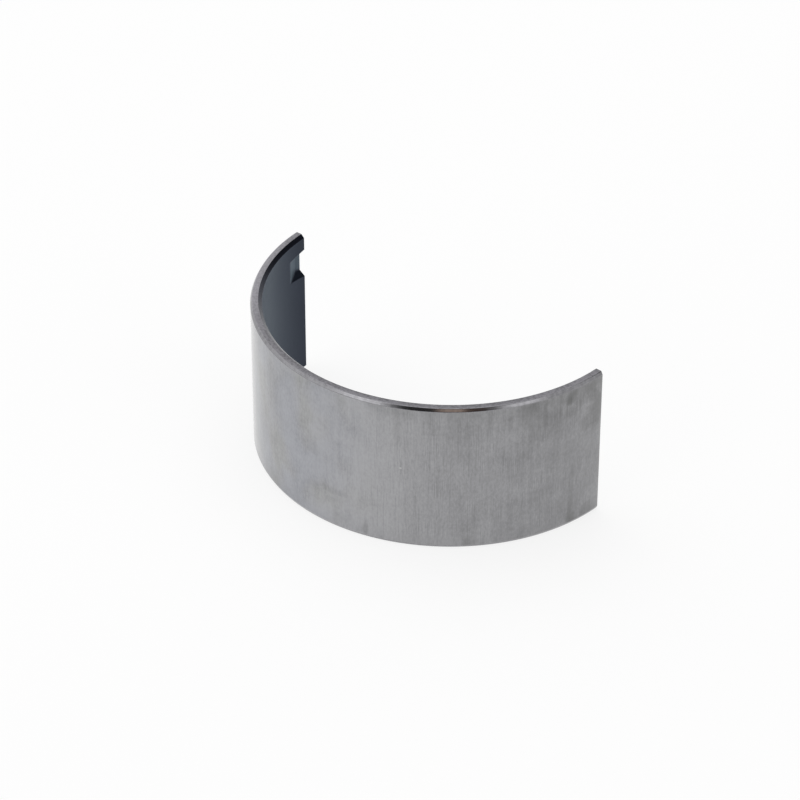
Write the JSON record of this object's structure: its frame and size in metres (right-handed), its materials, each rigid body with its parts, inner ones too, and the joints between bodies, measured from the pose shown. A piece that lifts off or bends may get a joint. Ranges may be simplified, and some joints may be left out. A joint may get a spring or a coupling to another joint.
{
  "type": "engine bearing shell",
  "caption": "Half-round plain bearing shell for a connecting rod's big end, with a steel back, a smooth dark lining, chamfered ends and a pressed locating lug.",
  "frame": {"origin": "on the bearing's axis, at the middle of the shell's width", "axes": "+Z along the bearing's axis, upwards as the shell stands on its end; the crown points to -Y, the open side with the two joint faces looks to +Y, and the locating lug is at the -X joint face"},
  "size_m": [0.076, 0.0361, 0.031],
  "materials": {
    "bearing_shell": "satin steel back with fine lines along the axis, smooth dark grey lining, bright chamfers"
  },
  "bodies": {
    "root": {"bearing_shell": "bearing_shell"}
  },
  "joints": []
}
